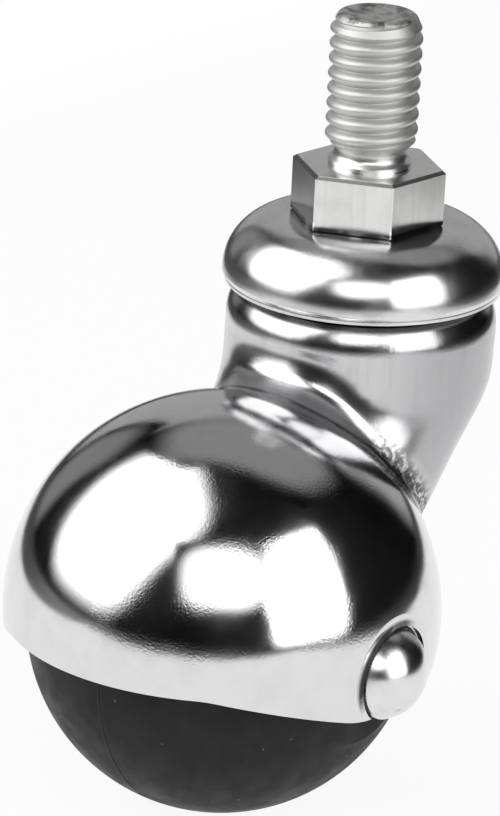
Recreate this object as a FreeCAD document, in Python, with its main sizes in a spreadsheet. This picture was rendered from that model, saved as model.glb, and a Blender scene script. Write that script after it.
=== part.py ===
import FreeCAD, Part
import Sketcher
import math
import os

# Hooded ball castor with a threaded stem. The origin is the centre of the hexagon's seating face
# on the swivel axis; +Z is up the stem, +X points to the ball, +Y along the axle to the rivet's head.
doc = FreeCAD.newDocument("ball_castor")
sizes = doc.addObject("Spreadsheet::Sheet", "Sizes")
places = doc.addObject("Spreadsheet::Sheet", "Places")


def fill(sheet, rows):
    """Write one named cell a row: the name in column A, the number or formula in column B."""
    for row, (name, content) in enumerate(rows, start=1):
        sheet.set(f"A{row}", name)
        sheet.set(f"B{row}", content)
        sheet.setAlias(f"B{row}", name)
    doc.recompute()


# Driving sizes in millimetres and degrees.
driving = {
    "thread_diameter": 9.525,
    "thread_length": 15.9,
    "end_chamfer": 0.9,
    "end_dimple_radius": 2.4,
    "end_dimple_depth": 0.4,
    "hex_flats": 14,
    "hex_height": 5.9,
    "hex_turn": -6.35,
    "hex_edge": 0.45,
    "pin_diameter": 8,
    "pin_groove_diameter": 6.4,
    "pin_tail": 1.5,
    "pin_chamfer": 0.6,
    "fit_play": 0.05,
    "race_play": 0.05,
    "bore_play": 0.15,
    "cap_overhang": 0.6,
    "cap_shoulder_radius": 5.9,
    "cap_wall": 1.5,
    "cap_curl_radius": 0.8,
    "cap_lip_step": 0.12,
    "cap_lip_height": 0.3,
    "upper_ball_diameter": 5,
    "ball_spacing": 0.1,
    "upper_contact_angle": 42.5,
    "upper_race_depth": 0.65,
    "neck_radius": 14,
    "neck_shoulder": 4,
    "neck_plate": 4.2,
    "neck_straight": 10.1,
    "neck_bend_ease": 0.8,
    "neck_skew": 0.736,
    "neck_taper": 0.1227,
    "neck_wall": 3,
    "foot_bury": 2.2,
    "lower_ball_diameter": 4,
    "lower_race_depth": 0.45,
    "cup_floor": 1.9,
    "cup_ball_gap": 0.15,
    "cup_rim_wall": 0.85,
    "cup_rim_rise": 0.75,
    "cup_side_gap": 0.8,
    "ring_play": 0.04,
    "ring_thickness": 1,
    "ring_radius": 6.5,
    "ring_gap": 5,
    "wheel_diameter": 40,
    "wheel_flat_radius": 8.3,
    "seam_width": 0.3,
    "seam_depth": 0.15,
    "hood_gap": 0.8,
    "hood_rise": 1.1,
    "hood_wall": 1.6,
    "dome_drop": 8,
    "dome_overhang": 0.8,
    "foot_hollow": 2.2,
    "rim_ear_drop": 3.95,
    "rim_ear_half": 5,
    "rim_rise_end": 18.7,
    "rim_upper_round": 4,
    "rim_lower_round": 12,
    "boss_radius": 6.5,
    "boss_wall": 1.9,
    "spotface_radius": 5.1,
    "axle_diameter": 6,
    "rivet_edge": 0.3,
    "rivet_head_radius": 4.75,
    "rivet_head_height": 3.5,
    "formed_head_radius": 4.3,
    "formed_head_height": 2.6,
    "washer_radius": 5.5,
    "washer_thickness": 1,
    "washer_play": 0.1,
    "bush_diameter": 9,
    "bush_play": 0.06,
}
fill(sizes, [(name, str(number)) for name, number in driving.items()])

# Radii and levels that follow from the driving sizes.
derived = [
    ("thread_radius", "=Sizes.thread_diameter / 2"),
    ("stem_end", "=Sizes.thread_length"),
    ("stem_end_radius", "=thread_radius - Sizes.end_chamfer"),
    ("stem_chamfer_level", "=stem_end - Sizes.end_chamfer"),
    ("dimple_floor", "=stem_end - Sizes.end_dimple_depth"),
    ("hex_bottom", "=-Sizes.hex_height"),
    ("hex_middle", "=hex_bottom / 2"),
    ("hex_corner_radius", "=Sizes.hex_flats / sqrt(3)"),
    ("pin_radius", "=Sizes.pin_diameter / 2"),
    ("cap_hole_radius", "=pin_radius + Sizes.fit_play"),
    ("cap_waist", "=hex_bottom - Sizes.cap_shoulder_radius"),
    ("cap_radius", "=Sizes.neck_radius + Sizes.cap_overhang"),
    ("cap_flat_radius", "=cap_radius - Sizes.cap_shoulder_radius"),
    ("cap_inner_shoulder", "=Sizes.cap_shoulder_radius - Sizes.cap_wall"),
    ("cap_inner_radius", "=cap_flat_radius + cap_inner_shoulder"),
    ("cap_ceiling", "=hex_bottom - Sizes.cap_wall"),
    ("curl_end_radius", "=cap_radius - Sizes.cap_curl_radius / 2"),
    ("curl_end_level", "=cap_waist - Sizes.cap_curl_radius * sqrt(3) / 2"),
    ("cap_lip_radius", "=curl_end_radius + Sizes.cap_lip_step"),
    ("cap_edge", "=curl_end_level - Sizes.cap_lip_height"),
    ("upper_ball_radius", "=Sizes.upper_ball_diameter / 2"),
    ("upper_ball_reach", "=cap_inner_shoulder - upper_ball_radius - Sizes.race_play"),
    ("upper_race_radius", "=cap_flat_radius"
                          " + upper_ball_reach * cos(Sizes.upper_contact_angle * 1 deg)"),
    ("upper_ball_level", "=cap_waist + upper_ball_reach * sin(Sizes.upper_contact_angle * 1 deg)"),
    ("upper_groove_radius", "=upper_ball_radius + Sizes.race_play"),
    ("neck_top", "=upper_ball_level - upper_ball_radius + Sizes.upper_race_depth"),
    ("neck_flat_radius", "=Sizes.neck_radius - Sizes.neck_shoulder"),
    ("neck_wall_top", "=neck_top - Sizes.neck_shoulder"),
    ("plate_bottom", "=neck_top - Sizes.neck_plate"),
    ("bore_radius", "=pin_radius + Sizes.bore_play"),
    ("neck_bend", "=neck_top - Sizes.neck_straight"),
    ("lower_ball_radius", "=Sizes.lower_ball_diameter / 2"),
    ("lower_ball_level", "=plate_bottom - lower_ball_radius + Sizes.lower_race_depth"),
    ("lower_groove_radius", "=lower_ball_radius + Sizes.race_play"),
    ("cup_top", "=lower_ball_level - lower_ball_radius + Sizes.lower_race_depth"),
    ("cup_bottom", "=cup_top - Sizes.cup_floor"),
    ("cup_rim_outer", "=Sizes.neck_radius - Sizes.neck_wall - Sizes.cup_side_gap"),
    ("cup_rim_inner", "=cup_rim_outer - Sizes.cup_rim_wall"),
    ("lower_race_radius", "=cup_rim_inner - Sizes.cup_ball_gap - lower_ball_radius"),
    ("cup_rim_top", "=lower_ball_level + Sizes.cup_rim_rise"),
    ("cup_groove_half", "=sqrt(lower_groove_radius ^ 2 - (lower_ball_level - cup_top) ^ 2)"),
    ("cup_groove_in", "=lower_race_radius - cup_groove_half"),
    ("cup_groove_out", "=lower_race_radius + cup_groove_half"),
    ("ring_top", "=cup_bottom - Sizes.ring_play"),
    ("ring_bottom", "=ring_top - Sizes.ring_thickness"),
    ("pin_groove_radius", "=Sizes.pin_groove_diameter / 2"),
    ("pin_groove_top", "=cup_bottom - Sizes.ring_play / 2"),
    ("pin_groove_bottom", "=ring_bottom - Sizes.ring_play"),
    ("ring_inner_radius", "=pin_groove_radius + Sizes.fit_play"),
    ("pin_end", "=ring_bottom - Sizes.pin_tail"),
    ("pin_end_radius", "=pin_radius - Sizes.pin_chamfer"),
    ("pin_chamfer_level", "=pin_end + Sizes.pin_chamfer"),
    ("wheel_radius", "=Sizes.wheel_diameter / 2"),
    ("room_radius", "=wheel_radius + Sizes.hood_gap"),
    ("hood_radius", "=room_radius + Sizes.hood_wall"),
    ("hood_level", "=neck_top - Sizes.dome_drop - hood_radius"),
    ("wheel_level", "=hood_level - Sizes.hood_rise"),
    ("wheel_offset", "=hood_radius - Sizes.dome_overhang"),
    ("wheel_face", "=sqrt(wheel_radius ^ 2 - Sizes.wheel_flat_radius ^ 2)"),
    ("wheel_back", "=-wheel_face"),
    ("seam_front", "=Sizes.seam_width / 2"),
    ("seam_back", "=-seam_front"),
    ("seam_lip_radius", "=sqrt(wheel_radius ^ 2 - seam_front ^ 2)"),
    ("seam_floor_radius", "=wheel_radius - Sizes.seam_depth"),
    ("wheel_middle", "=0"),
    ("bush_radius", "=Sizes.bush_diameter / 2"),
    ("axle_radius", "=Sizes.axle_diameter / 2"),
    ("bush_bore_radius", "=axle_radius + Sizes.bush_play"),
    ("washer_hole_radius", "=axle_radius + Sizes.washer_play"),
    ("washer_near", "=wheel_face + Sizes.washer_play"),
    ("washer_far", "=washer_near + Sizes.washer_thickness"),
    ("washer_back_near", "=-washer_near"),
    ("washer_back_far", "=-washer_far"),
    ("boss_face", "=washer_far + Sizes.washer_play"),
    ("rivet_seat", "=boss_face + Sizes.boss_wall"),
    ("rivet_edge_level", "=rivet_seat + Sizes.rivet_edge"),
    ("rivet_crown", "=rivet_seat + Sizes.rivet_head_height"),
    ("formed_seat", "=-rivet_seat"),
    ("formed_edge_level", "=-rivet_edge_level"),
    ("formed_crown", "=-rivet_seat - Sizes.formed_head_height"),
    ("hood_reach", "=hood_radius + Sizes.rivet_head_height"),
    ("rim_angle", "=atan(Sizes.rim_ear_drop / (Sizes.rim_rise_end - Sizes.rim_ear_half))"),
    ("rim_upper_run", "=Sizes.rim_upper_round * tan(rim_angle / 2)"),
    ("rim_lower_run", "=Sizes.rim_lower_round * tan(rim_angle / 2)"),
    ("rim_ear", "=wheel_level - Sizes.rim_ear_drop"),
    ("rim_upper_level", "=wheel_level - rim_upper_run * sin(rim_angle)"),
    ("rim_lower_level", "=rim_ear + rim_lower_run * sin(rim_angle)"),
    ("rim_below", "=wheel_level - hood_reach"),
]
# The rim's corners repeat in front of and behind the axle.
for side, sign in (("front", "+"), ("rear", "-")):
    centre = f"=wheel_offset {sign} "
    derived += [
        (f"rim_{side}_end", f"{centre}hood_reach"),
        (f"rim_{side}_flat", f"{centre}(Sizes.rim_rise_end + rim_upper_run)"),
        (f"rim_{side}_upper", f"{centre}(Sizes.rim_rise_end - rim_upper_run * cos(rim_angle))"),
        (f"rim_{side}_lower", f"{centre}(Sizes.rim_ear_half + rim_lower_run * cos(rim_angle))"),
        (f"rim_{side}_ear", f"{centre}(Sizes.rim_ear_half - rim_lower_run)"),
    ]
# The neck's foot leans towards the ball below its bend: level, lean and radius of each section.
foot_shares = (0, 0.07, 0.13, 0.18, 0.235, 0.3, 0.45, 0.7, 1)
derived += [
    ("foot_span", "=plate_bottom - hood_level + Sizes.foot_bury"),
    ("foot_start_run", "=(neck_bend - plate_bottom + sqrt((neck_bend - plate_bottom) ^ 2"
                       " + 4 * Sizes.neck_bend_ease ^ 2)) / 2"),
]
for number, share in enumerate(foot_shares):
    derived += [
        (f"foot_level_{number}", f"=plate_bottom - foot_span * {share}"),
        (f"foot_below_{number}", f"=neck_bend - foot_level_{number}"),
        (f"foot_run_{number}", f"=(foot_below_{number} + sqrt(foot_below_{number} ^ 2"
                               f" + 4 * Sizes.neck_bend_ease ^ 2)) / 2 - foot_start_run"),
        (f"foot_lean_{number}", f"=Sizes.neck_skew * foot_run_{number}"),
        (f"foot_radius_{number}", f"=Sizes.neck_radius - Sizes.neck_taper * foot_run_{number}"),
    ]
fill(places, derived)


def cell(name):
    """The sheet cell that holds a name, for use in an expression."""
    sheet = sizes if sizes.getCellFromAlias(name) else places
    return f"{sheet.Name}.{name}"


def value(name):
    """The number in a named cell."""
    sheet = sizes if sizes.getCellFromAlias(name) else places
    return float(sheet.get(name))


def bind(item, **bindings):
    """Tie an object's properties to named cells; a double underscore stands for a dot."""
    for path, expression in bindings.items():
        item.setExpression(path.replace("__", "."), expression)
    return item


def draw(sketch, corners, arcs):
    """Draw one closed outline. Each corner is a pair of cell names, None for a corner on the
    sketch's vertical axis. arcs maps a side's number to what its centre is known by: ("across",
    cell), ("along", cell) or "axis", with True if the side runs anticlockwise."""
    points = [(0.0 if across is None else value(across), value(along)) for across, along in corners]
    ends = []
    for side, (x1, y1) in enumerate(points):
        x2, y2 = points[(side + 1) % len(points)]
        if side not in arcs:
            line = Part.LineSegment(FreeCAD.Vector(x1, y1), FreeCAD.Vector(x2, y2))
            ends.append((sketch.addGeometry(line), 1, 2))
            continue
        known, anticlockwise = arcs[side]
        if known == "axis" or known[0] == "across":
            cx = 0.0 if known == "axis" else value(known[1])
            cy = ((x1 - cx) ** 2 - (x2 - cx) ** 2 + y1 ** 2 - y2 ** 2) / (2 * (y1 - y2))
        else:
            cy = value(known[1])
            cx = ((y1 - cy) ** 2 - (y2 - cy) ** 2 + x1 ** 2 - x2 ** 2) / (2 * (x1 - x2))
        circle = Part.Circle(FreeCAD.Vector(cx, cy), FreeCAD.Vector(0, 0, 1), math.hypot(x1 - cx, y1 - cy))
        first = math.atan2(y1 - cy, x1 - cx)
        last = math.atan2(y2 - cy, x2 - cx)
        if not anticlockwise:
            first, last = last, first
        if last < first:
            last += 2 * math.pi
        arc = sketch.addGeometry(Part.ArcOfCircle(circle, first, last))
        ends.append((arc, 1, 2) if anticlockwise else (arc, 2, 1))
    for side, (shape, start, stop) in enumerate(ends):
        follower, its_start, _ = ends[(side + 1) % len(ends)]
        sketch.addConstraint(Sketcher.Constraint("Coincident", shape, stop, follower, its_start))
        across, along = corners[side]
        if across is None:
            sketch.addConstraint(Sketcher.Constraint("PointOnObject", shape, start, -2))
        else:
            hold(sketch, "DistanceX", shape, start, across)
        hold(sketch, "DistanceY", shape, start, along)
        if side in arcs:
            known = arcs[side][0]
            if known == "axis":
                sketch.addConstraint(Sketcher.Constraint("PointOnObject", shape, 3, -2))
            else:
                hold(sketch, "DistanceX" if known[0] == "across" else "DistanceY", shape, 3, known[1])


def hold(sketch, kind, shape, point, name):
    """Fix one coordinate of a point, measured from the sketch's origin, to a named cell."""
    number = sketch.addConstraint(Sketcher.Constraint(kind, -1, 1, shape, point, value(name)))
    sketch.setExpression(f"Constraints[{number}]", cell(name))


def turned(label, plane, corners, arcs=None):
    """A turned or pressed piece: one outline revolved about the vertical axis of its sketch."""
    body = doc.addObject("PartDesign::Body", label)
    sketch = body.newObject("Sketcher::SketchObject", f"{label}_outline")
    origin_plane = next(part for part in body.Origin.OriginFeatures if part.Role == plane)
    sketch.AttachmentSupport = [(origin_plane, "")]
    sketch.MapMode = "FlatFace"
    draw(sketch, corners, arcs or {})
    doc.recompute()
    revolution = body.newObject("PartDesign::Revolution", f"{label}_turning")
    revolution.Profile = sketch
    revolution.ReferenceAxis = (sketch, ["V_Axis"])
    revolution.Angle = 360
    body.Tip = revolution
    doc.recompute()
    return body


def on_axle(body):
    """Place a piece that was turned about Y on the axle."""
    return bind(body, Placement__Base__x=cell("wheel_offset"), Placement__Base__z=cell("wheel_level"))


def cylinder(name, radius, start, length, lying=False):
    """A cylinder up the swivel axis, or lying along the axle, from start over length."""
    item = doc.addObject("Part::Cylinder", name)
    bind(item, Radius=radius, Height=length)
    if lying:
        item.Placement.Rotation = FreeCAD.Rotation(FreeCAD.Vector(1, 0, 0), -90)
        bind(on_axle(item), Placement__Base__y=start)
    else:
        bind(item, Placement__Base__z=start)
    return item


def sphere(name, radius, across, along):
    """A ball of a given radius, its centre in the plane through the swivel axis and the ball."""
    item = doc.addObject("Part::Sphere", name)
    return bind(item, Radius=radius, Placement__Base__x=across, Placement__Base__z=along)


def combine(kind, name, pieces):
    """Fuse or intersect several solids."""
    item = doc.addObject(kind, name)
    item.Shapes = pieces
    doc.recompute()
    return item


def cut(name, base, tool):
    """Cut one solid from another."""
    item = doc.addObject("Part::Cut", name)
    item.Base = base
    item.Tool = tool
    doc.recompute()
    return item


# Threaded stem: stud, hexagon and the pin below it are one bolt.
stem_turning = turned("stem_turning", "XZ_Plane", [
    (None, "dimple_floor"),
    ("end_dimple_radius", "stem_end"),
    ("stem_end_radius", "stem_end"),
    ("thread_radius", "stem_chamfer_level"),
    ("thread_radius", "hex_middle"),
    ("pin_radius", "hex_middle"),
    ("pin_radius", "pin_groove_top"),
    ("pin_groove_radius", "pin_groove_top"),
    ("pin_groove_radius", "pin_groove_bottom"),
    ("pin_radius", "pin_groove_bottom"),
    ("pin_radius", "pin_chamfer_level"),
    ("pin_end_radius", "pin_end"),
    (None, "pin_end"),
])
hexagon = doc.addObject("Part::Prism", "hexagon")
hexagon.Polygon = 6
bind(hexagon, Circumradius=cell("hex_corner_radius"), Height=cell("hex_height"),
     Placement__Base__z=cell("hex_bottom"), Placement__Rotation__Angle=f"{cell('hex_turn')} * 1 deg")
doc.recompute()
hex_top_edges = [number for number, edge in enumerate(hexagon.Shape.Edges, start=1)
                 if edge.BoundBox.ZMin > value("hex_middle")]
hexagon_eased = doc.addObject("Part::Chamfer", "hexagon_eased")
hexagon_eased.Base = hexagon
hexagon_eased.Edges = [(number, value("hex_edge"), value("hex_edge")) for number in hex_top_edges]
threaded_stem = combine("Part::MultiFuse", "threaded_stem", [stem_turning, hexagon_eased])

# Swivel cap: a pressed bell whose inner corner is the upper ball race, with a curled, lipped edge.
swivel_cap = turned("swivel_cap", "XZ_Plane", [
    ("cap_hole_radius", "hex_bottom"),
    ("cap_flat_radius", "hex_bottom"),
    ("cap_radius", "cap_waist"),
    ("curl_end_radius", "curl_end_level"),
    ("cap_lip_radius", "curl_end_level"),
    ("cap_lip_radius", "cap_edge"),
    ("cap_inner_radius", "cap_edge"),
    ("cap_inner_radius", "cap_waist"),
    ("cap_flat_radius", "cap_ceiling"),
    ("cap_hole_radius", "cap_ceiling"),
], {
    1: (("along", "cap_waist"), False),
    2: (("along", "cap_waist"), False),
    7: (("along", "cap_waist"), True),
})

# Lower race cup: a grooved washer with a rim that keeps its balls in.
lower_race_cup = turned("lower_race_cup", "XZ_Plane", [
    ("cap_hole_radius", "cup_top"),
    ("cup_groove_in", "cup_top"),
    ("cup_groove_out", "cup_top"),
    ("cup_rim_inner", "cup_top"),
    ("cup_rim_inner", "cup_rim_top"),
    ("cup_rim_outer", "cup_rim_top"),
    ("cup_rim_outer", "cup_bottom"),
    ("cap_hole_radius", "cup_bottom"),
], {1: (("along", "lower_ball_level"), True)})

# Retaining ring: an open ring sprung into the pin's groove.
ring_disc = cylinder("ring_disc", cell("ring_radius"), cell("ring_bottom"), cell("ring_thickness"))
ring_hole = cylinder("ring_hole", cell("ring_inner_radius"), cell("ring_bottom"), cell("ring_thickness"))
ring_slot = doc.addObject("Part::Box", "ring_slot")
bind(ring_slot, Length=cell("ring_radius"), Width=cell("ring_gap"), Height=cell("ring_thickness"),
     Placement__Base__y=f"-{cell('ring_gap')} / 2", Placement__Base__z=cell("ring_bottom"))
ring_closed = cut("ring_closed", ring_disc, ring_hole)
retaining_ring = cut("retaining_ring", ring_closed, ring_slot)


def row_count(row):
    """How many balls go round a race with the named spacing between them."""
    half_pitch = (value(f"{row}_ball_diameter") + value("ball_spacing")) / 2
    return math.floor(math.pi / math.asin(half_pitch / value(f"{row}_race_radius")))


def ball_row(name, count, radius, pitch_radius, level):
    """A ring of loose bearing balls, evenly spaced about the swivel axis."""
    balls = []
    for number in range(count):
        turn = f"360 deg * {number} / {count}"
        ball = sphere(f"{name}_{number}", radius, f"{pitch_radius} * cos({turn})", level)
        balls.append(bind(ball, Placement__Base__y=f"{pitch_radius} * sin({turn})"))
    row = doc.addObject("Part::Compound", name)
    row.Links = balls
    doc.recompute()
    return row


upper_bearing_balls = ball_row("upper_bearing_balls", row_count("upper"), cell("upper_ball_radius"),
                               cell("upper_race_radius"), cell("upper_ball_level"))
lower_bearing_balls = ball_row("lower_bearing_balls", row_count("lower"), cell("lower_ball_radius"),
                               cell("lower_race_radius"), cell("lower_ball_level"))


def foot(name, growth):
    """The neck's leaning foot as a smooth loft of round sections, grown or shrunk by a radius."""
    sections = []
    for number in range(len(foot_shares)):
        circle = doc.addObject("Part::Circle", f"{name}_{number}")
        bind(circle, Radius=f"{cell(f'foot_radius_{number}')} {growth}",
             Placement__Base__x=cell(f"foot_lean_{number}"), Placement__Base__z=cell(f"foot_level_{number}"))
        sections.append(circle)
    loft = doc.addObject("Part::Loft", name)
    loft.Sections = sections
    loft.Solid = True
    loft.Ruled = False
    doc.recompute()
    return loft


# Hood, outside: dome, round-shouldered neck and its foot, with a rounded hollow where they meet.
dome = sphere("dome", cell("hood_radius"), cell("wheel_offset"), cell("hood_level"))
neck_head = turned("neck_head", "XZ_Plane", [
    (None, "neck_top"),
    ("neck_flat_radius", "neck_top"),
    ("neck_radius", "neck_wall_top"),
    ("neck_radius", "plate_bottom"),
    (None, "plate_bottom"),
], {1: (("along", "neck_wall_top"), False)})
neck_foot = foot("neck_foot", "")
hood_outside = combine("Part::MultiFuse", "hood_outside", [dome, neck_head, neck_foot])


def meeting_edges(shape):
    """Numbers of the edges where the neck's foot meets the dome: on the dome, below the neck's head."""
    centre = FreeCAD.Vector(value("wheel_offset"), 0, value("hood_level"))
    near = value("hood_wall") / 10
    found = []
    for number, edge in enumerate(shape.Edges, start=1):
        if edge.Degenerated or len(shape.ancestorsOfType(edge, Part.Face)) < 2:
            continue
        points = edge.discretize(9)
        if all(abs(point.distanceToPoint(centre) - value("hood_radius")) < near for point in points):
            found.append(number)
    return found


hood_eased = doc.addObject("Part::Fillet", "hood_eased")
hood_eased.Base = hood_outside
hood_eased.Edges = [(number, value("foot_hollow"), value("foot_hollow"))
                    for number in meeting_edges(hood_outside.Shape)]
doc.recompute()

# Hood, inside: ball space and hollow neck, less the flat bosses that the axle passes through.
ball_space = sphere("ball_space", cell("room_radius"), cell("wheel_offset"), cell("hood_level"))
neck_hollow = foot("neck_hollow", f"- {cell('neck_wall')}")
hood_hollow = combine("Part::MultiFuse", "hood_hollow", [ball_space, neck_hollow])
bosses = combine("Part::MultiFuse", "bosses", [
    cylinder("boss_front", cell("boss_radius"), cell("boss_face"), cell("boss_wall"), lying=True),
    cylinder("boss_rear", cell("boss_radius"), f"-{cell('rivet_seat')}", cell("boss_wall"), lying=True),
])
hood_room = cut("hood_room", hood_hollow, bosses)

# Rim: level in front and behind, sloping down to an ear below each end of the axle.
rim_outline = doc.addObject("Sketcher::SketchObject", "rim_outline")
rim_outline.Placement.Rotation = FreeCAD.Rotation(FreeCAD.Vector(1, 0, 0), 90)
draw(rim_outline, [
    ("rim_front_end", "wheel_level"),
    ("rim_front_flat", "wheel_level"),
    ("rim_front_upper", "rim_upper_level"),
    ("rim_front_lower", "rim_lower_level"),
    ("rim_front_ear", "rim_ear"),
    ("rim_rear_ear", "rim_ear"),
    ("rim_rear_lower", "rim_lower_level"),
    ("rim_rear_upper", "rim_upper_level"),
    ("rim_rear_flat", "wheel_level"),
    ("rim_rear_end", "wheel_level"),
    ("rim_rear_end", "rim_below"),
    ("rim_front_end", "rim_below"),
], {
    1: (("across", "rim_front_flat"), True),
    3: (("across", "rim_front_ear"), False),
    5: (("across", "rim_rear_ear"), False),
    7: (("across", "rim_rear_flat"), True),
})
below_rim = doc.addObject("Part::Extrusion", "below_rim")
below_rim.Base = rim_outline
below_rim.DirMode = "Custom"
below_rim.Dir = FreeCAD.Vector(0, 1, 0)
below_rim.Symmetric = True
below_rim.Solid = True
bind(below_rim, LengthFwd=f"2 * {cell('hood_reach')}")


def race(name, radius, groove, level):
    """The round groove that a row of bearing balls runs in."""
    item = doc.addObject("Part::Torus", name)
    return bind(item, Radius1=radius, Radius2=groove, Placement__Base__z=level)


hood_cuts = combine("Part::MultiFuse", "hood_cuts", [
    race("upper_race", cell("upper_race_radius"), cell("upper_groove_radius"), cell("upper_ball_level")),
    race("lower_race", cell("lower_race_radius"), cell("lower_groove_radius"), cell("lower_ball_level")),
    cylinder("pin_bore", cell("bore_radius"), cell("plate_bottom"), cell("neck_plate")),
    cylinder("axle_hole", f"{cell('axle_radius')} + {cell('fit_play')}",
             f"-{cell('rivet_seat')}", f"2 * {cell('rivet_seat')}", lying=True),
    cylinder("spotface_front", cell("spotface_radius"), cell("rivet_seat"),
             cell("rivet_head_height"), lying=True),
    cylinder("spotface_rear", cell("spotface_radius"),
             f"-{cell('rivet_seat')} - {cell('rivet_head_height')}", cell("rivet_head_height"), lying=True),
])
hood_shell = cut("hood_shell", hood_eased, hood_room)
hood_trimmed = cut("hood_trimmed", hood_shell, below_rim)
hood = cut("hood", hood_trimmed, hood_cuts)

# Axle rivet: a plain shank with a domed head, and a flatter head formed at the far end.
axle_rivet = on_axle(turned("axle_rivet", "XY_Plane", [
    (None, "rivet_crown"),
    ("rivet_head_radius", "rivet_edge_level"),
    ("rivet_head_radius", "rivet_seat"),
    ("axle_radius", "rivet_seat"),
    ("axle_radius", "formed_seat"),
    ("formed_head_radius", "formed_seat"),
    ("formed_head_radius", "formed_edge_level"),
    (None, "formed_crown"),
], {0: ("axis", False), 6: ("axis", False)}))


def axle_ring(label, hole, outside, near, far):
    """A flat-ended ring on the axle."""
    return on_axle(turned(label, "XY_Plane", [(hole, near), (outside, near), (outside, far), (hole, far)]))


axle_washer_front = axle_ring("axle_washer_front", "washer_hole_radius", "washer_radius",
                              "washer_near", "washer_far")
axle_washer_rear = axle_ring("axle_washer_rear", "washer_hole_radius", "washer_radius",
                             "washer_back_far", "washer_back_near")
wheel_bush = axle_ring("wheel_bush", "bush_bore_radius", "bush_radius", "wheel_back", "wheel_face")

# Ball: a solid sphere with a flat at each end of its bore and a fine mould seam round its middle.
ball_wheel = on_axle(turned("ball_wheel", "XY_Plane", [
    ("bush_radius", "wheel_back"),
    ("wheel_flat_radius", "wheel_back"),
    ("seam_lip_radius", "seam_back"),
    ("seam_floor_radius", "wheel_middle"),
    ("seam_lip_radius", "seam_front"),
    ("wheel_flat_radius", "wheel_face"),
    ("bush_radius", "wheel_face"),
], {1: ("axis", True), 4: ("axis", True)}))

doc.recompute()
pieces = [threaded_stem, swivel_cap, upper_bearing_balls, hood, lower_bearing_balls, lower_race_cup,
          retaining_ring, axle_rivet, axle_washer_front, axle_washer_rear, ball_wheel, wheel_bush]

# Every step and every piece is checked before anything is written.
for item in doc.Objects:
    if "Invalid" in item.State or "Error" in item.State:
        raise RuntimeError(f"{item.Label} failed: {item.State}")
for piece in pieces:
    if piece.Shape.isNull() or not piece.Shape.isValid() or not piece.Shape.Solids:
        raise RuntimeError(f"{piece.Label} has no valid solid")

os.makedirs("parts", exist_ok=True)
for piece in pieces:
    piece.Shape.exportStep(f"parts/{piece.Label}.step")
    print(f"{piece.Label}: {len(piece.Shape.Solids)} solids, {piece.Shape.Volume:.1f} mm3")
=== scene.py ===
import math

import bpy
from mathutils import Euler, Matrix, Vector


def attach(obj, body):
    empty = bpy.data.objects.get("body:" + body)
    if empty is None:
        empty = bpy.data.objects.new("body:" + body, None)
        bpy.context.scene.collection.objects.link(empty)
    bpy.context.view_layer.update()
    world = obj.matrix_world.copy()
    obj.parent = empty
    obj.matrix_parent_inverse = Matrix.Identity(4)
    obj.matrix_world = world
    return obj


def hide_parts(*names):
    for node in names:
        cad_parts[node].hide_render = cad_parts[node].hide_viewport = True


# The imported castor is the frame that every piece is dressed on. The CAD pieces come in selected, and
# the operators below work on what is selected, so nothing stays so.
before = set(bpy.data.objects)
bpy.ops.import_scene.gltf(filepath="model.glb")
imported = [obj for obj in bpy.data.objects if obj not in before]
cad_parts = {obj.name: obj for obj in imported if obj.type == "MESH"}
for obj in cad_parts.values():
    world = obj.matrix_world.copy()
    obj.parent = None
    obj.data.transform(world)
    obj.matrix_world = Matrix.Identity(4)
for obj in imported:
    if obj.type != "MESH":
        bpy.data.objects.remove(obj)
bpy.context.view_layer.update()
bpy.ops.object.select_all(action="DESELECT")

# Threaded stem: one steel bolt, zinc plated, with a rolled 3/8-16 stud, a hexagon for the spanner and
# the swivel pin below it. The stud has a turned collar and a relief groove where its thread runs out,
# and its end is left slightly dished by the rolling.
mm = 0.001
um = 0.001 * mm
thread_pitch = 1.5875
thread_crest = 4.7625
thread_root = 4.07
thread_depth = thread_crest - thread_root
thread_turns = 12
thread_steps = 60
crest_level = 3.302
turns_below_crest = 3.5
thread_start = crest_level - turns_below_crest * thread_pitch

# One turn of the rounded thread: share of the pitch, then share of the depth there.
thread_shape = [
    (0, 0), (0.05, 0.06), (0.12, 0.26), (0.21, 0.58), (0.3, 0.83), (0.4, 0.96), (0.5, 1),
    (0.6, 0.96), (0.7, 0.83), (0.79, 0.58), (0.88, 0.26), (0.95, 0.06), (1, 0)]

# Turned outlines, as radii and heights: what the stud's chamfered ends leave of the thread, the collar
# and groove under it, and the swivel pin with its ring groove.
stud_outline = [
    (0, 1.5), (3.55, 1.5), (3.75, 1.75), (4.85, 2.9), (4.85, 14.15), (4.6, 14.6), (4.38, 15.05),
    (4.22, 15.4), (4.05, 15.68), (3.85, 15.83), (3.6, 15.88), (3.3, 15.86), (2.9, 15.76), (2.2, 15.6),
    (1.2, 15.5), (0, 15.48)]
collar_outline = [
    (0, -1), (4.3, -1), (4.3, 0.42), (4.2, 0.56), (3.95, 0.72), (3.78, 0.95), (3.7, 1.2), (3.7, 1.7),
    (3.78, 2.1), (0, 2.1)]
pin_outline = [
    (0, -3), (4, -3), (4, -21.62), (3.2, -21.62), (3.2, -22.68), (4, -22.68), (4, -23.54),
    (3.4, -24.14), (0, -24.14)]

# The stud and the collar start at angles of their own, so that no two cuts fall in one plane.
stud_start_angle = 1
collar_start_angle = 1.3

hex_across_flats = 14
hex_height = 5.9
hex_turn = 23.65
hex_top_chamfer = 0.3
hex_top_taper = 0.985
hex_foot_chamfer = 0.2
hex_edge_chamfer = 0.1
stem_smooth_angle = 26


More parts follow.
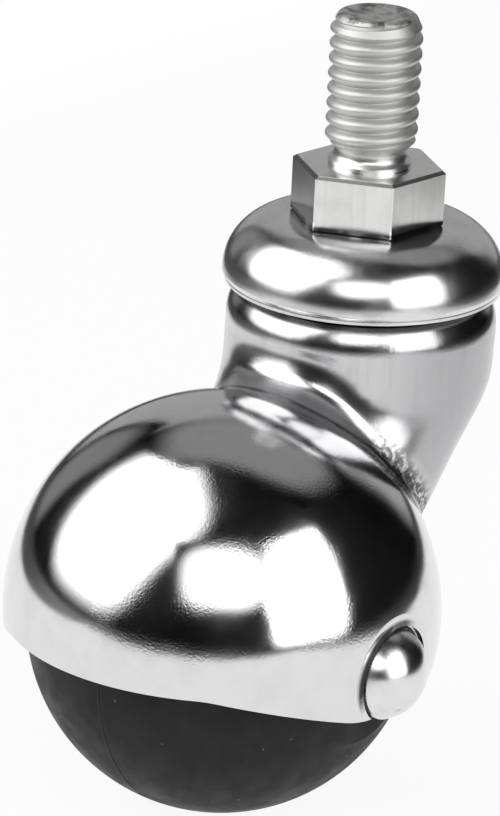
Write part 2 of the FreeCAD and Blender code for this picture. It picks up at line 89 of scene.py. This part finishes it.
def outline(name, corners):
    """Draw one chain of edges in the XZ plane, corner by corner, from radii and heights in mm."""
    bpy.ops.object.select_all(action="DESELECT")
    bpy.ops.mesh.primitive_plane_add(size=mm, location=(0, 0, 0))
    drawn = bpy.context.object
    drawn.name = name
    bpy.ops.object.mode_set(mode="EDIT")
    bpy.ops.mesh.select_all(action="SELECT")
    bpy.ops.mesh.merge(type="CENTER")
    first_radius, first_height = corners[0]
    bpy.ops.transform.translate(value=(first_radius * mm, 0, first_height * mm))
    for (radius, height), (next_radius, next_height) in zip(corners, corners[1:]):
        step = ((next_radius - radius) * mm, 0, (next_height - height) * mm)
        bpy.ops.mesh.extrude_region_move(TRANSFORM_OT_translate={"value": step})
    bpy.ops.object.mode_set(mode="OBJECT")
    return drawn


def close_up(piece, merge=2 * um):
    """Weld the seams of a spun or swept piece and turn its faces outwards."""
    bpy.context.view_layer.objects.active = piece
    bpy.ops.object.mode_set(mode="EDIT")
    bpy.ops.mesh.select_all(action="SELECT")
    bpy.ops.mesh.remove_doubles(threshold=merge)
    bpy.ops.mesh.normals_make_consistent(inside=False)
    bpy.ops.object.mode_set(mode="OBJECT")


def start_at(piece, angle):
    """Turn a selected piece about the swivel axis, by degrees, and keep it so."""
    piece.rotation_euler.z = math.radians(angle)
    bpy.ops.object.transform_apply(location=False, rotation=True, scale=False)


def turned(name, corners, steps=96, start=0.0):
    """Spin an outline about the swivel axis, as on a lathe, from a start angle in degrees."""
    piece = outline(name, corners)
    bpy.ops.object.mode_set(mode="EDIT")
    bpy.ops.mesh.select_all(action="SELECT")
    bpy.ops.mesh.spin(steps=steps, angle=math.tau, center=(0, 0, 0), axis=(0, 0, 1))
    bpy.ops.object.mode_set(mode="OBJECT")
    close_up(piece)
    start_at(piece, start)
    return piece


def combine(piece, other, operation):
    """Join another solid to a piece, or keep only what the two share."""
    change = piece.modifiers.new("with_" + other.name, "BOOLEAN")
    change.object = other
    change.operation = operation
    change.solver = "EXACT"
    bpy.context.view_layer.objects.active = piece
    bpy.ops.object.modifier_apply(modifier=change.name)
    bpy.data.objects.remove(other)


stud = outline("stud", [(thread_root + thread_depth * rise, thread_start + thread_pitch * along)
                        for along, rise in thread_shape])
winding = stud.modifiers.new("winding", "SCREW")
winding.axis = "Z"
winding.screw_offset = thread_pitch * mm
winding.iterations = thread_turns
winding.steps = thread_steps
winding.render_steps = thread_steps
bpy.ops.object.modifier_apply(modifier="winding")
close_up(stud)
bpy.ops.object.mode_set(mode="EDIT")
bpy.ops.mesh.select_all(action="DESELECT")
bpy.ops.mesh.select_mode(type="EDGE")
bpy.ops.mesh.select_non_manifold()
bpy.ops.mesh.edge_face_add()
bpy.ops.mesh.select_mode(type="VERT")
bpy.ops.object.mode_set(mode="OBJECT")
close_up(stud)
start_at(stud, stud_start_angle)
combine(stud, turned("stud_envelope", stud_outline), "INTERSECT")
combine(stud, turned("stud_foot", collar_outline, start=collar_start_angle), "UNION")

bpy.ops.object.select_all(action="DESELECT")
bpy.ops.mesh.primitive_cylinder_add(
    vertices=6, radius=hex_across_flats / math.sqrt(3) * mm, depth=hex_height * mm,
    location=(0, 0, -hex_height / 2 * mm), rotation=(0, 0, math.radians(hex_turn)))
hexagon = bpy.context.object
hexagon.name = "hexagon"
bpy.ops.object.transform_apply(location=True, rotation=True, scale=True)


def select_edges(piece, wanted):
    """Select the edges whose middle and direction answer to a test, and stay in edit mode."""
    bpy.ops.object.mode_set(mode="EDIT")
    bpy.ops.mesh.select_mode(type="EDGE")
    bpy.ops.mesh.select_all(action="DESELECT")
    bpy.ops.object.mode_set(mode="OBJECT")
    for edge in piece.data.edges:
        start, end = (piece.data.vertices[number].co for number in edge.vertices)
        edge.select = wanted((start + end) / 2, (end - start).normalized())
    bpy.ops.object.mode_set(mode="EDIT")


# The chamfers come before the upright edges, whose bevel then runs through them.
select_edges(hexagon, lambda middle, along: abs(along.z) < 0.1 and middle.z > -1 * mm)
bpy.ops.mesh.bevel(offset=hex_top_chamfer * mm, segments=1, affect="EDGES")
bpy.ops.object.mode_set(mode="OBJECT")
select_edges(hexagon, lambda middle, along: abs(along.z) < 0.1 and middle.z > -0.01 * mm)
bpy.ops.transform.resize(value=(hex_top_taper, hex_top_taper, 1), center_override=(0, 0, 0))
bpy.ops.object.mode_set(mode="OBJECT")
select_edges(hexagon, lambda middle, along: abs(along.z) < 0.1 and middle.z < -5 * mm)
bpy.ops.mesh.bevel(offset=hex_foot_chamfer * mm, segments=1, affect="EDGES")
bpy.ops.object.mode_set(mode="OBJECT")
select_edges(hexagon, lambda middle, along: abs(along.z) > 0.9)
bpy.ops.mesh.bevel(offset=hex_edge_chamfer * mm, segments=1, affect="EDGES")
bpy.ops.mesh.select_mode(type="VERT")
bpy.ops.object.mode_set(mode="OBJECT")
close_up(hexagon)
combine(hexagon, turned("pin", pin_outline), "UNION")
combine(hexagon, stud, "UNION")
stem = hexagon
stem.name = "threaded_stem_bolt"


def smooth(piece, angle):
    """Shade a piece smooth but for edges sharper than an angle in degrees."""
    bpy.ops.object.select_all(action="DESELECT")
    piece.select_set(True)
    bpy.context.view_layer.objects.active = piece
    bpy.ops.object.shade_smooth_by_angle(angle=math.radians(angle))


smooth(stem, stem_smooth_angle)


def new_group(name, inputs, outputs):
    """Start a shader node group with named float inputs and outputs."""
    group = bpy.data.node_groups.new(name, "ShaderNodeTree")
    for label, amount in inputs:
        socket = group.interface.new_socket(name=label, in_out="INPUT", socket_type="NodeSocketFloat")
        socket.default_value = amount
    for label in outputs:
        group.interface.new_socket(name=label, in_out="OUTPUT", socket_type="NodeSocketFloat")
    return group, group.nodes.new("NodeGroupInput"), group.nodes.new("NodeGroupOutput")


def own_place(tree):
    """The piece's own coordinates, in metres."""
    return tree.nodes.new("ShaderNodeTexCoord").outputs["Object"]


def noise(tree, coordinates, scale, detail=2.0, roughness=0.5, stretch=None):
    """A noise texture on a piece's own coordinates; scale is in features a metre."""
    if stretch:
        mapping = tree.nodes.new("ShaderNodeMapping")
        mapping.inputs["Scale"].default_value = stretch
        tree.links.new(coordinates, mapping.inputs["Vector"])
        coordinates = mapping.outputs["Vector"]
    texture = tree.nodes.new("ShaderNodeTexNoise")
    texture.inputs["Detail"].default_value = detail
    texture.inputs["Roughness"].default_value = roughness
    tree.links.new(coordinates, texture.inputs["Vector"])
    if isinstance(scale, bpy.types.NodeSocket):
        tree.links.new(scale, texture.inputs["Scale"])
    else:
        texture.inputs["Scale"].default_value = scale
    return texture.outputs["Fac"]


def math_node(tree, operation, first, second=0.0):
    """A math node on two sockets or numbers."""
    node = tree.nodes.new("ShaderNodeMath")
    node.operation = operation
    for socket, content in zip(node.inputs, (first, second)):
        if isinstance(content, bpy.types.NodeSocket):
            tree.links.new(content, socket)
        else:
            socket.default_value = content
    return node.outputs["Value"]


def chain(tree, operation, contents):
    """One operation from each socket or number to the next."""
    result = contents[0]
    for content in contents[1:]:
        result = math_node(tree, operation, result, content)
    return result


def times(tree, *contents):
    """The product of several sockets or numbers."""
    return chain(tree, "MULTIPLY", contents)


def total(tree, *contents):
    """The sum of several sockets or numbers."""
    return chain(tree, "ADD", contents)


def most(tree, *contents):
    """The largest of several sockets or numbers."""
    return chain(tree, "MAXIMUM", contents)


def spread(tree, content, low, high, to_low=0.0, to_high=1.0, way="SMOOTHSTEP"):
    """Map a range of a value onto another range, clamped, eased at both ends unless told otherwise."""
    node = tree.nodes.new("ShaderNodeMapRange")
    node.interpolation_type = way
    for label, amount in (("From Min", low), ("From Max", high), ("To Min", to_low), ("To Max", to_high)):
        node.inputs[label].default_value = amount
    tree.links.new(content, node.inputs["Value"])
    return node.outputs["Result"]


def fade(tree, content, low, high):
    """A mask that is full below one value and gone above another."""
    return spread(tree, content, low, high, 1.0, 0.0)


def tinted(tree, factor, under, over):
    """Lay one colour over another by a factor; each is a socket or a colour."""
    node = tree.nodes.new("ShaderNodeMix")
    node.data_type = "RGBA"
    tree.links.new(factor, node.inputs["Factor"])
    for label, content in (("A", under), ("B", over)):
        if isinstance(content, bpy.types.NodeSocket):
            tree.links.new(content, node.inputs[label])
        else:
            node.inputs[label].default_value = (*content, 1)
    return node.outputs["Result"]


def layered(tree, ground, layers):
    """Lay several colours over a ground, each by its own mask."""
    for factor, over in layers:
        ground = tinted(tree, factor, ground, over)
    return ground


def axes_of(tree, coordinates, unit=mm):
    """The three parts of a place, by name, in mm or another unit."""
    measured = tree.nodes.new("ShaderNodeVectorMath")
    measured.operation = "SCALE"
    measured.inputs["Scale"].default_value = 1 / unit
    tree.links.new(coordinates, measured.inputs[0])
    parts = tree.nodes.new("ShaderNodeSeparateXYZ")
    tree.links.new(measured.outputs["Vector"], parts.inputs["Vector"])
    return parts.outputs


# Plated skin, used on every plated piece: slow waviness from the metal under the plating, fine pits
# that come in patches, and a haze that makes parts of it duller. Sizes and heights are in metres.
plating, given, made = new_group(
    "plated_skin",
    [("Wave Size", 6 * mm), ("Wave Height", 10 * um), ("Pit Size", 0.4 * mm), ("Pit Height", 2 * um),
     ("Gloss", 0.07), ("Haze", 0.15)],
    ["Height", "Roughness", "Haze Mask"])
place = own_place(plating)
wave_scale = math_node(plating, "DIVIDE", 1.0, given.outputs["Wave Size"])
pit_scale = math_node(plating, "DIVIDE", 1.0, given.outputs["Pit Size"])
waves = times(plating, noise(plating, place, wave_scale, 1.0), given.outputs["Wave Height"])
patches = spread(plating, noise(plating, place, 150.0, 2.0), 0.35, 0.65, 0.2, 2.0)
pits = times(plating, noise(plating, place, pit_scale, 2.0, 0.6), given.outputs["Pit Height"], patches)
plating.links.new(total(plating, waves, pits), made.inputs["Height"])
cloud = spread(plating, noise(plating, place, 260.0, 3.0, 0.6), 0.35, 0.8)
plating.links.new(cloud, made.inputs["Haze Mask"])
dulled = times(plating, cloud, given.outputs["Haze"])
plating.links.new(total(plating, dulled, given.outputs["Gloss"]), made.inputs["Roughness"])


def new_material(name, metallic):
    """Start a material; its tree and its shader come back with it."""
    material = bpy.data.materials.new(name)
    material.use_nodes = True
    shader = material.node_tree.nodes["Principled BSDF"]
    shader.inputs["Metallic"].default_value = metallic
    return material, material.node_tree, shader


def skin(tree, **settings):
    """The plated skin with its settings; gives its outputs."""
    node = tree.nodes.new("ShaderNodeGroup")
    node.node_tree = plating
    for label, amount in settings.items():
        node.inputs[label.replace("_", " ")].default_value = amount
    return node.outputs


def raised(tree, height):
    """A bump node on a height in metres."""
    bump = tree.nodes.new("ShaderNodeBump")
    bump.inputs["Distance"].default_value = 1.0
    tree.links.new(height, bump.inputs["Height"])
    return bump


def join_up(tree, shader, colour, roughness, height):
    """Link colour, roughness and a height in metres to a shader; the bump node comes back."""
    tree.links.new(colour, shader.inputs["Base Color"])
    tree.links.new(roughness, shader.inputs["Roughness"])
    bump = raised(tree, height)
    tree.links.new(bump.outputs["Normal"], shader.inputs["Normal"])
    return bump


def wear(piece, material):
    """Give a piece one material only."""
    piece.data.materials.clear()
    piece.data.materials.append(material)


# The hexagon is bright with fine upright marks, with painted shade on its top chamfer and its foot. The
# thread is duller than the collar under it, and the stud's end is stained.
zinc_bright = (0.8, 0.8, 0.79)
zinc_hazy = (0.74, 0.74, 0.73)
zinc_marks = (0.66, 0.66, 0.66)
zinc_thread = (0.64, 0.64, 0.63)
# Stain on the stud's end, also laid as painted shade on the hexagon's top chamfer.
zinc_stain_and_shade = (0.1, 0.1, 0.1)
# Painted shade at the hexagon's foot, against the cap.
zinc_foot_shade = (0.05, 0.05, 0.05)
zinc, tree, shader = new_material("zinc_plate", 1.0)
plate = skin(tree, Wave_Size=2.5 * mm, Wave_Height=4 * um, Pit_Size=0.22 * mm, Pit_Height=2 * um,
             Gloss=0.17, Haze=0.05)
place = own_place(tree)
level = axes_of(tree, place)["Z"]
thread = spread(tree, level, 1.4, 2.4)
collar = spread(tree, level, 0.02, 0.1)
# Painted shade on the hexagon's top chamfer.
chamfer = times(tree, spread(tree, level, -0.34, -0.28), fade(tree, level, -0.06, -0.01))
marks = noise(tree, place, 1500.0, 3.0, 0.6, stretch=(1, 1, 0.06))
blots = spread(tree, noise(tree, place, 650.0, 4.0, 0.65), 0.38, 0.66)
stain = times(tree, spread(tree, level, 15.2, 15.7), blots)
# Painted shade at the hexagon's foot, in patches.
foot_shade_patches = spread(tree, noise(tree, place, 500.0), 0.2, 0.5)
foot_shade = times(tree, fade(tree, level, -5.5, -5.1), foot_shade_patches)
colour = layered(tree, tinted(tree, plate["Haze Mask"], zinc_bright, zinc_hazy), [
    (spread(tree, marks, 0.45, 0.75, 0.0, 0.5), zinc_marks),
    (thread, zinc_thread),
    (times(tree, stain, 0.8), zinc_stain_and_shade),
    (times(tree, chamfer, 0.68), zinc_stain_and_shade),
    (times(tree, foot_shade, 0.9), zinc_foot_shade)])
roughness = total(tree, plate["Roughness"], times(tree, thread, 0.2), times(tree, collar, 0.13))
height = total(tree, plate["Height"], times(tree, marks, 2 * um), times(tree, stain, -80 * um))
join_up(tree, shader, colour, roughness, height)
wear(stem, zinc)
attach(stem, "stem")
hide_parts("threaded_stem")

# Swivel cap: a bell pressed from sheet steel, its lower edge curled in and lipped, chrome plated. It was
# polished while turning, so the marks of the polish run round it.
cap_bright = (0.76, 0.76, 0.77)
cap_hazy = (0.68, 0.68, 0.69)
cap_chrome, tree, shader = new_material("cap_chrome", 1.0)
plate = skin(tree, Wave_Size=5 * mm, Wave_Height=12 * um, Pit_Size=0.4 * mm, Pit_Height=5 * um,
             Gloss=0.2, Haze=0.1)
rings = noise(tree, own_place(tree), 1400.0, 3.0, 0.6, stretch=(0.04, 0.04, 1))
colour = tinted(tree, plate["Haze Mask"], cap_bright, cap_hazy)
height = total(tree, plate["Height"], times(tree, rings, 5 * um))
join_up(tree, shader, colour, plate["Roughness"], height)
wear(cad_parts["swivel_cap"], cap_chrome)

# Bearing balls, race cup and retaining ring: ground bearing steel inside the swivel, lightly oiled and
# darker than the plated pieces.
steel_bright = (0.56, 0.56, 0.58)
steel_oiled = (0.42, 0.41, 0.4)
bearing, tree, shader = new_material("bearing_steel_ground", 1.0)
plate = skin(tree, Wave_Size=2 * mm, Wave_Height=2 * um, Pit_Size=0.3 * mm, Pit_Height=0.8 * um,
             Gloss=0.18, Haze=0.12)
colour = tinted(tree, plate["Haze Mask"], steel_bright, steel_oiled)
join_up(tree, shader, colour, plate["Roughness"], plate["Height"])
for node in ("upper_bearing_balls", "lower_bearing_balls", "lower_race_cup", "retaining_ring"):
    wear(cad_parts[node], bearing)

# Hood: one die-cast shell, polished and chrome plated. The polish leaves the dome wavy and finely pitted
# and the neck a little duller; the crease where the two meet stays rough and dark in its pores, and the
# ear is dished round the rivet's head. Painted shade darkens the neck's flanks, a line along the crease,
# the shoulder under the cap and the ear round the rivet's head.
dome_centre = (21.6, 0, -42.8)
axle_centre = (21.6, 0, -43.9)
hood_bright = (0.75, 0.75, 0.76)
hood_hazy = (0.7, 0.7, 0.71)
neck_grey = (0.63, 0.63, 0.64)
neck_marks = (0.5, 0.5, 0.5)
# Painted shade on the neck's flanks.
painted_flank_shade = (0.3, 0.3, 0.31)
pore_grime = (0.07, 0.07, 0.07)
# Painted shade round the rivet's head and on the shoulder under the cap.
painted_shade_dark = (0.05, 0.05, 0.05)
# Painted shade along the line where the hollow starts.
crease_line_shade = (0.1, 0.1, 0.1)


def distance_from(tree, coordinates, centre, keep=(1, 1, 1)):
    """Distance in mm from a point, or from an axis through it where one direction is not kept."""
    shift = tree.nodes.new("ShaderNodeVectorMath")
    shift.operation = "SUBTRACT"
    shift.inputs[1].default_value = [amount * mm for amount in centre]
    tree.links.new(coordinates, shift.inputs[0])
    flatten = tree.nodes.new("ShaderNodeVectorMath")
    flatten.operation = "MULTIPLY"
    flatten.inputs[1].default_value = [amount / mm for amount in keep]
    tree.links.new(shift.outputs["Vector"], flatten.inputs[0])
    length = tree.nodes.new("ShaderNodeVectorMath")
    length.operation = "LENGTH"
    tree.links.new(flatten.outputs["Vector"], length.inputs[0])
    return length.outputs["Value"]


hood_chrome, tree, shader = new_material("hood_chrome", 1.0)
plate = skin(tree, Wave_Size=6 * mm, Wave_Height=12 * um, Pit_Size=0.26 * mm, Pit_Height=6.5 * um,
             Gloss=0.1, Haze=0.05)
place = own_place(tree)
axes = axes_of(tree, place)
aside = math_node(tree, "ABSOLUTE", axes["Y"])
reach = distance_from(tree, place, dome_centre)

# Neck and crease, by their distance from the dome's centre: the neck's upright polish marks, painted
# shade on its flanks, the rough pores low on both flanks, and painted shade in a thin line where the
# hollow starts.
neck = spread(tree, reach, 23.2, 25.5)
marks = noise(tree, place, 900.0, 3.0, 0.6, stretch=(1, 1, 0.12))
flank_shade = spread(tree, aside, 9, 13.8, 0.0, 0.5)
crease = times(tree, spread(tree, reach, 22.45, 22.8), fade(tree, reach, 23.4, 25.0))
flank = spread(tree, aside, 9, 11.8)
pores = spread(tree, noise(tree, place, 1500.0, 3.0, 0.6), 0.36, 0.56)
grime = times(tree, crease, flank, pores)
# Painted shade: a thin dark line where the hollow starts.
line = times(tree, spread(tree, reach, 22.42, 22.5), fade(tree, reach, 22.55, 22.75))
# Painted shade on the shoulder just under the cap's edge.
cap_gap_shade = spread(tree, axes["Z"], -14.2, -13.8)

# Ear, by its distance from the axle: a dish round the head, painted shade under the head's edge, and
# painted shade in patches in a crescent on the side that faces up and out.
seat = distance_from(tree, place, axle_centre, (1, 0, 1))
dish = spread(tree, seat, 4.9, 6.3, -0.4 * mm, 0.0)
under_head = times(tree, fade(tree, seat, 5.0, 5.06), spread(tree, seat, 3.2, 3.4))
up_and_out = total(tree, times(tree, axes["X"], 0.7), times(tree, axes["Z"], 0.7))
crescent_patches = spread(tree, noise(tree, place, 500.0, 2.0), 0.3, 0.55, 0.6, 1.0)
crescent = times(tree, fade(tree, seat, 5.45, 5.9), spread(tree, up_and_out, -15, -12.2), crescent_patches)
seat_shade = most(tree, under_head, times(tree, crescent, 0.97))

colour = layered(tree, tinted(tree, plate["Haze Mask"], hood_bright, hood_hazy), [
    (neck, neck_grey),
    (times(tree, neck, spread(tree, marks, 0.45, 0.75, 0.0, 0.35)), neck_marks),
    (times(tree, neck, flank_shade), painted_flank_shade),
    (times(tree, grime, 0.9), pore_grime),
    # Painted shade round the rivet's head and under the cap's edge.
    (most(tree, seat_shade, times(tree, cap_gap_shade, 0.9)), painted_shade_dark),
    (times(tree, line, 0.5), crease_line_shade)])
dull = most(tree, times(tree, neck, 0.08), times(tree, crease, flank, 0.3), times(tree, crease, 0.18),
            times(tree, seat_shade, 0.5))
roughness = total(tree, plate["Roughness"], dull)
height = total(tree, plate["Height"], times(tree, grime, -30 * um), times(tree, neck, marks, 8 * um), dish)
surface = join_up(tree, shader, colour, roughness, height)

# The dome's skin rises softly into the hollow at the front and lies flat on the flanks.
flare = spread(tree, reach, 22.6, 27.4, 1.0, 0.0, "LINEAR")
flared = raised(tree, times(tree, flare, flare, 1.7 * mm))
tree.links.new(fade(tree, aside, 5, 11.5), flared.inputs["Strength"])
tree.links.new(flared.outputs["Normal"], surface.inputs["Normal"])
wear(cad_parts["hood"], hood_chrome)

# Axle rivet: a steel rivet with a domed head on the near side and a flatter one formed on the far side,
# plated with the hood, its heads a little hammered and stained.
rivet_seat = 21.296
rivet_radius = 3
near_radius = 4.75
near_crown = 3.5
far_radius = 4.3
far_crown = 2.6
head_edge = 0.3
head_round = 0.1
rivet_steps = 72
rivet_smooth_angle = 35
rivet_bright = (0.78, 0.78, 0.78)
rivet_hazy = (0.7, 0.7, 0.7)
rivet_stain = (0.25, 0.25, 0.25)


def domed(radius, start, crown, steps=14):
    """Corners of a domed head from its crown to its edge; start is the level of the edge."""
    rise = abs(crown - start)
    bow = (radius ** 2 + rise ** 2) / (2 * rise)
    away = math.copysign(1, crown - start)
    turns = [math.asin(radius / bow) * number / steps for number in range(steps + 1)]
    return [(bow * math.sin(turn), crown - away * bow * (1 - math.cos(turn))) for turn in turns]


near_head = domed(near_radius, rivet_seat + head_edge, rivet_seat + near_crown)
far_head = domed(far_radius, -rivet_seat - head_edge, -rivet_seat - far_crown)
shank = [
    (near_radius, rivet_seat + head_round), (near_radius - head_round, rivet_seat),
    (rivet_radius, rivet_seat), (rivet_radius, -rivet_seat),
    (far_radius - head_round, -rivet_seat), (far_radius, -rivet_seat - head_round)]
rivet = turned("axle_rivet_plated", near_head + shank + far_head[::-1], rivet_steps)
rivet.rotation_euler = (-math.pi / 2, 0, 0)
rivet.location = Vector(axle_centre) * mm
bpy.ops.object.transform_apply(location=True, rotation=True, scale=True)
smooth(rivet, rivet_smooth_angle)
rivet_chrome, tree, shader = new_material("rivet_chrome", 1.0)
plate = skin(tree, Wave_Size=2.5 * mm, Wave_Height=20 * um, Pit_Size=0.4 * mm, Pit_Height=7 * um,
             Gloss=0.2, Haze=0.12)
stain = spread(tree, noise(tree, own_place(tree), 420.0, 4.0, 0.65), 0.58, 0.72)
colour = layered(tree, tinted(tree, plate["Haze Mask"], rivet_bright, rivet_hazy), [
    (times(tree, stain, 0.6), rivet_stain)])
join_up(tree, shader, colour, plate["Roughness"], plate["Height"])
wear(rivet, rivet_chrome)
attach(rivet, "hood")
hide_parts("axle_rivet")

# Washers and bush: white nylon, moulded, between the ball and the steel it runs on. The washers lie on
# the rivet against the hood's bosses, and the bush is pressed into the ball.
nylon_white = (0.8, 0.79, 0.75)
nylon_aged = (0.72, 0.7, 0.65)
nylon, tree, shader = new_material("nylon_moulding", 0.0)
place = own_place(tree)
age = spread(tree, noise(tree, place, 90.0, 4.0), 0.35, 0.75)
colour = tinted(tree, age, nylon_white, nylon_aged)
roughness = spread(tree, noise(tree, place, 400.0), 0.3, 0.7, 0.4, 0.52)
join_up(tree, shader, colour, roughness, times(tree, noise(tree, place, 2000.0), 4 * um))
for node in ("axle_washer_front", "axle_washer_rear", "wheel_bush"):
    wear(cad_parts[node], nylon)

# Ball: solid black rubber, moulded in two halves. The seam between them is painted lighter, for a little
# dust in it and as painted light that evens out the groove's shade. The matt skin is cloudy with scuffs
# and a few pale specks.
rubber_black = (0.0145, 0.0145, 0.0155)
rubber_scuffed = (0.02, 0.0198, 0.0198)
# Dust in the seam, and painted light against the groove's shade.
seam_dust_and_light = (0.07, 0.068, 0.066)
pale_speck = (0.2, 0.19, 0.18)
rubber, tree, shader = new_material("ball_rubber", 0.0)
shader.inputs["Specular IOR Level"].default_value = 0.16
place = own_place(tree)
scuffs = spread(tree, noise(tree, place, 260.0, 5.0, 0.65), 0.35, 0.75)
specks = spread(tree, noise(tree, place, 1300.0, 0.0), 0.84, 0.87)
seam = fade(tree, math_node(tree, "ABSOLUTE", axes_of(tree, place)["Y"]), 0.12, 0.3)
colour = layered(tree, tinted(tree, scuffs, rubber_black, rubber_scuffed), [
    (times(tree, seam, 0.4), seam_dust_and_light),
    (times(tree, specks, 0.45), pale_speck)])
roughness = spread(tree, noise(tree, place, 400.0), 0.3, 0.7, 0.44, 0.58)
join_up(tree, shader, colour, roughness, times(tree, noise(tree, place, 2500.0, 3.0), 10 * um))
wear(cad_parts["ball_wheel"], rubber)

# Table: a white sheet that the ball stands on, with a dark table past three of its sides. The camera
# sees white all over, with the castor's shadow, and the metal shows the sheet as white too.
table_level = -63.9
table_width = 5000
table_dark = (0.04, 0.04, 0.04)
sheet_white = (0.9, 0.9, 0.9)
sheet_edges = [((-0.829, 0.559, 0), 172), ((-0.063, -0.998, 0), 152), ((0.98, 0.198, 0), 260)]
sheet_fade = 45
shadow_share = 0.08
to_the_back = (-0.805, -0.593, 0)
bpy.ops.object.select_all(action="DESELECT")
bpy.ops.mesh.primitive_plane_add(size=table_width * mm, location=(0, 0, table_level * mm))
table = bpy.context.object
table.name = "table"
table_white, tree, paper = new_material("table_white", 0.0)
paper.inputs["Roughness"].default_value = 0.7


def along(tree, coordinates, direction):
    """How far a place lies in a direction, in metres."""
    node = tree.nodes.new("ShaderNodeVectorMath")
    node.operation = "DOT_PRODUCT"
    node.inputs[1].default_value = direction
    tree.links.new(coordinates, node.inputs[0])
    return node.outputs["Value"]


place = own_place(tree)
sheet = times(tree, *(fade(tree, along(tree, place, direction), edge * mm, (edge + sheet_fade) * mm)
                      for direction, edge in sheet_edges))
tree.links.new(tinted(tree, sheet, table_dark, sheet_white), paper.inputs["Base Color"])
glow = tree.nodes.new("ShaderNodeEmission")
glow.inputs["Strength"].default_value = 1.0
path = tree.nodes.new("ShaderNodeLightPath")
unshadowed = math_node(tree, "SUBTRACT", 1.0, times(tree, sheet, shadow_share))
by_eye = times(tree, path.outputs["Is Camera Ray"], unshadowed)
far = spread(tree, along(tree, place, to_the_back), 20 * mm, 300 * mm, 0.92, 0.5)
in_metal = most(tree, path.outputs["Is Glossy Ray"], path.outputs["Is Transmission Ray"])
by_metal = times(tree, in_metal, sheet, far)
blend = tree.nodes.new("ShaderNodeMixShader")
tree.links.new(most(tree, by_eye, by_metal), blend.inputs["Fac"])
tree.links.new(paper.outputs["BSDF"], blend.inputs[1])
tree.links.new(glow.outputs["Emission"], blend.inputs[2])
tree.links.new(blend.outputs["Shader"], tree.nodes["Material Output"].inputs["Surface"])
table.data.materials.append(table_white)

# Studio: dark walls, three softboxes, and a dim card on the left and two behind. The camera looks past
# all of them into a white world. Sizes and distances here are in metres.
view_azimuth = 36.4
panel_distance = 0.9
panel_aim = Vector((0.02, 0, -0.035))
wall_radius = 2.4
wall_grey = (0.055, 0.055, 0.055)


def panel(name, azimuth, elevation, size, strength, squareness, soft):
    """A lit softbox or card that faces the castor, azimuth counted from the camera, positive to its
    right, and size in metres. Its light fades towards an edge between round and square."""
    turn = math.radians(view_azimuth + azimuth)
    rise = math.radians(elevation)
    towards = Vector((math.cos(turn) * math.cos(rise), math.sin(turn) * math.cos(rise), math.sin(rise)))
    bpy.ops.object.select_all(action="DESELECT")
    bpy.ops.mesh.primitive_plane_add(size=2, location=panel_aim + towards * panel_distance)
    board = bpy.context.object
    board.name = name
    board.scale = (size[0] / 2, size[1] / 2, 1)
    board.rotation_euler = Euler((math.pi / 2 - rise, 0, turn + math.pi / 2))
    material, tree, shader = new_material(name + "_light", 0.0)
    tree.nodes.remove(shader)
    light = tree.nodes.new("ShaderNodeEmission")
    tree.links.new(light.outputs["Emission"], tree.nodes["Material Output"].inputs["Surface"])
    axes = axes_of(tree, own_place(tree), unit=1)
    sides = (math_node(tree, "ABSOLUTE", axes[label]) for label in "XY")
    across, up = (math_node(tree, "POWER", side, squareness) for side in sides)
    edge = math_node(tree, "POWER", total(tree, across, up), 1 / squareness)
    tree.links.new(spread(tree, edge, 1 - soft, 1.0, strength, 0.0), light.inputs["Strength"])
    board.data.materials.append(material)
    board.visible_camera = False


panel("softbox_left", -83, 42, size=(1.4, 1.65), strength=2.2, squareness=4, soft=0.38)
panel("softbox_camera", 0, 36, size=(0.86, 0.64), strength=2.0, squareness=3, soft=0.4)
panel("softbox_right", 48, 26, size=(0.78, 0.92), strength=2.2, squareness=10, soft=0.08)
panel("card_left", -144, 14, size=(0.42, 0.8), strength=0.24, squareness=3, soft=0.5)
panel("card_behind", 174, 20, size=(1.5, 1.0), strength=0.4, squareness=4, soft=0.3)
panel("card_above", 165, 62, size=(1.3, 0.75), strength=0.28, squareness=3, soft=0.4)

bpy.ops.object.select_all(action="DESELECT")
bpy.ops.mesh.primitive_uv_sphere_add(segments=32, ring_count=16, radius=wall_radius, location=(0, 0, 0))
walls = bpy.context.object
walls.name = "studio_walls"
walls.visible_camera = False
dark, tree, shader = new_material("studio_dark", 0.0)
shader.inputs["Base Color"].default_value = (*wall_grey, 1)
shader.inputs["Roughness"].default_value = 0.9
walls.data.materials.append(dark)

scene = bpy.context.scene
world = bpy.data.worlds.new("white_room")
scene.world = world
world.use_nodes = True
tree = world.node_tree
sky = tree.nodes["Background"]
sky.inputs["Color"].default_value = (1, 1, 1, 1)
path = tree.nodes.new("ShaderNodeLightPath")
rays = ("Is Camera Ray", "Is Glossy Ray", "Is Transmission Ray")
tree.links.new(most(tree, *(path.outputs[ray] for ray in rays)), sky.inputs["Strength"])
scene.view_settings.view_transform = "Standard"

# Camera: a long lens from above and beside the rivet, a little rolled, as the photograph was taken.
aim = Vector((11.711, -5.0025, -25.0555)) * mm
camera_distance = 543.317 * mm
azimuth, elevation, roll = (math.radians(angle) for angle in (126.386, 19.948, 2.853))
turned_view = Euler((math.pi / 2 - elevation, 0, azimuth)).to_matrix() @ Matrix.Rotation(roll, 3, "Z")
lens = bpy.data.cameras.new("photograph")
lens.sensor_width = 36
lens.lens = 232.92
lens.clip_start = 0.01
camera = bpy.data.objects.new("photograph", lens)
camera.location = aim + turned_view.col[2] * camera_distance
camera.rotation_euler = turned_view.to_euler()
scene.collection.objects.link(camera)
scene.camera = camera
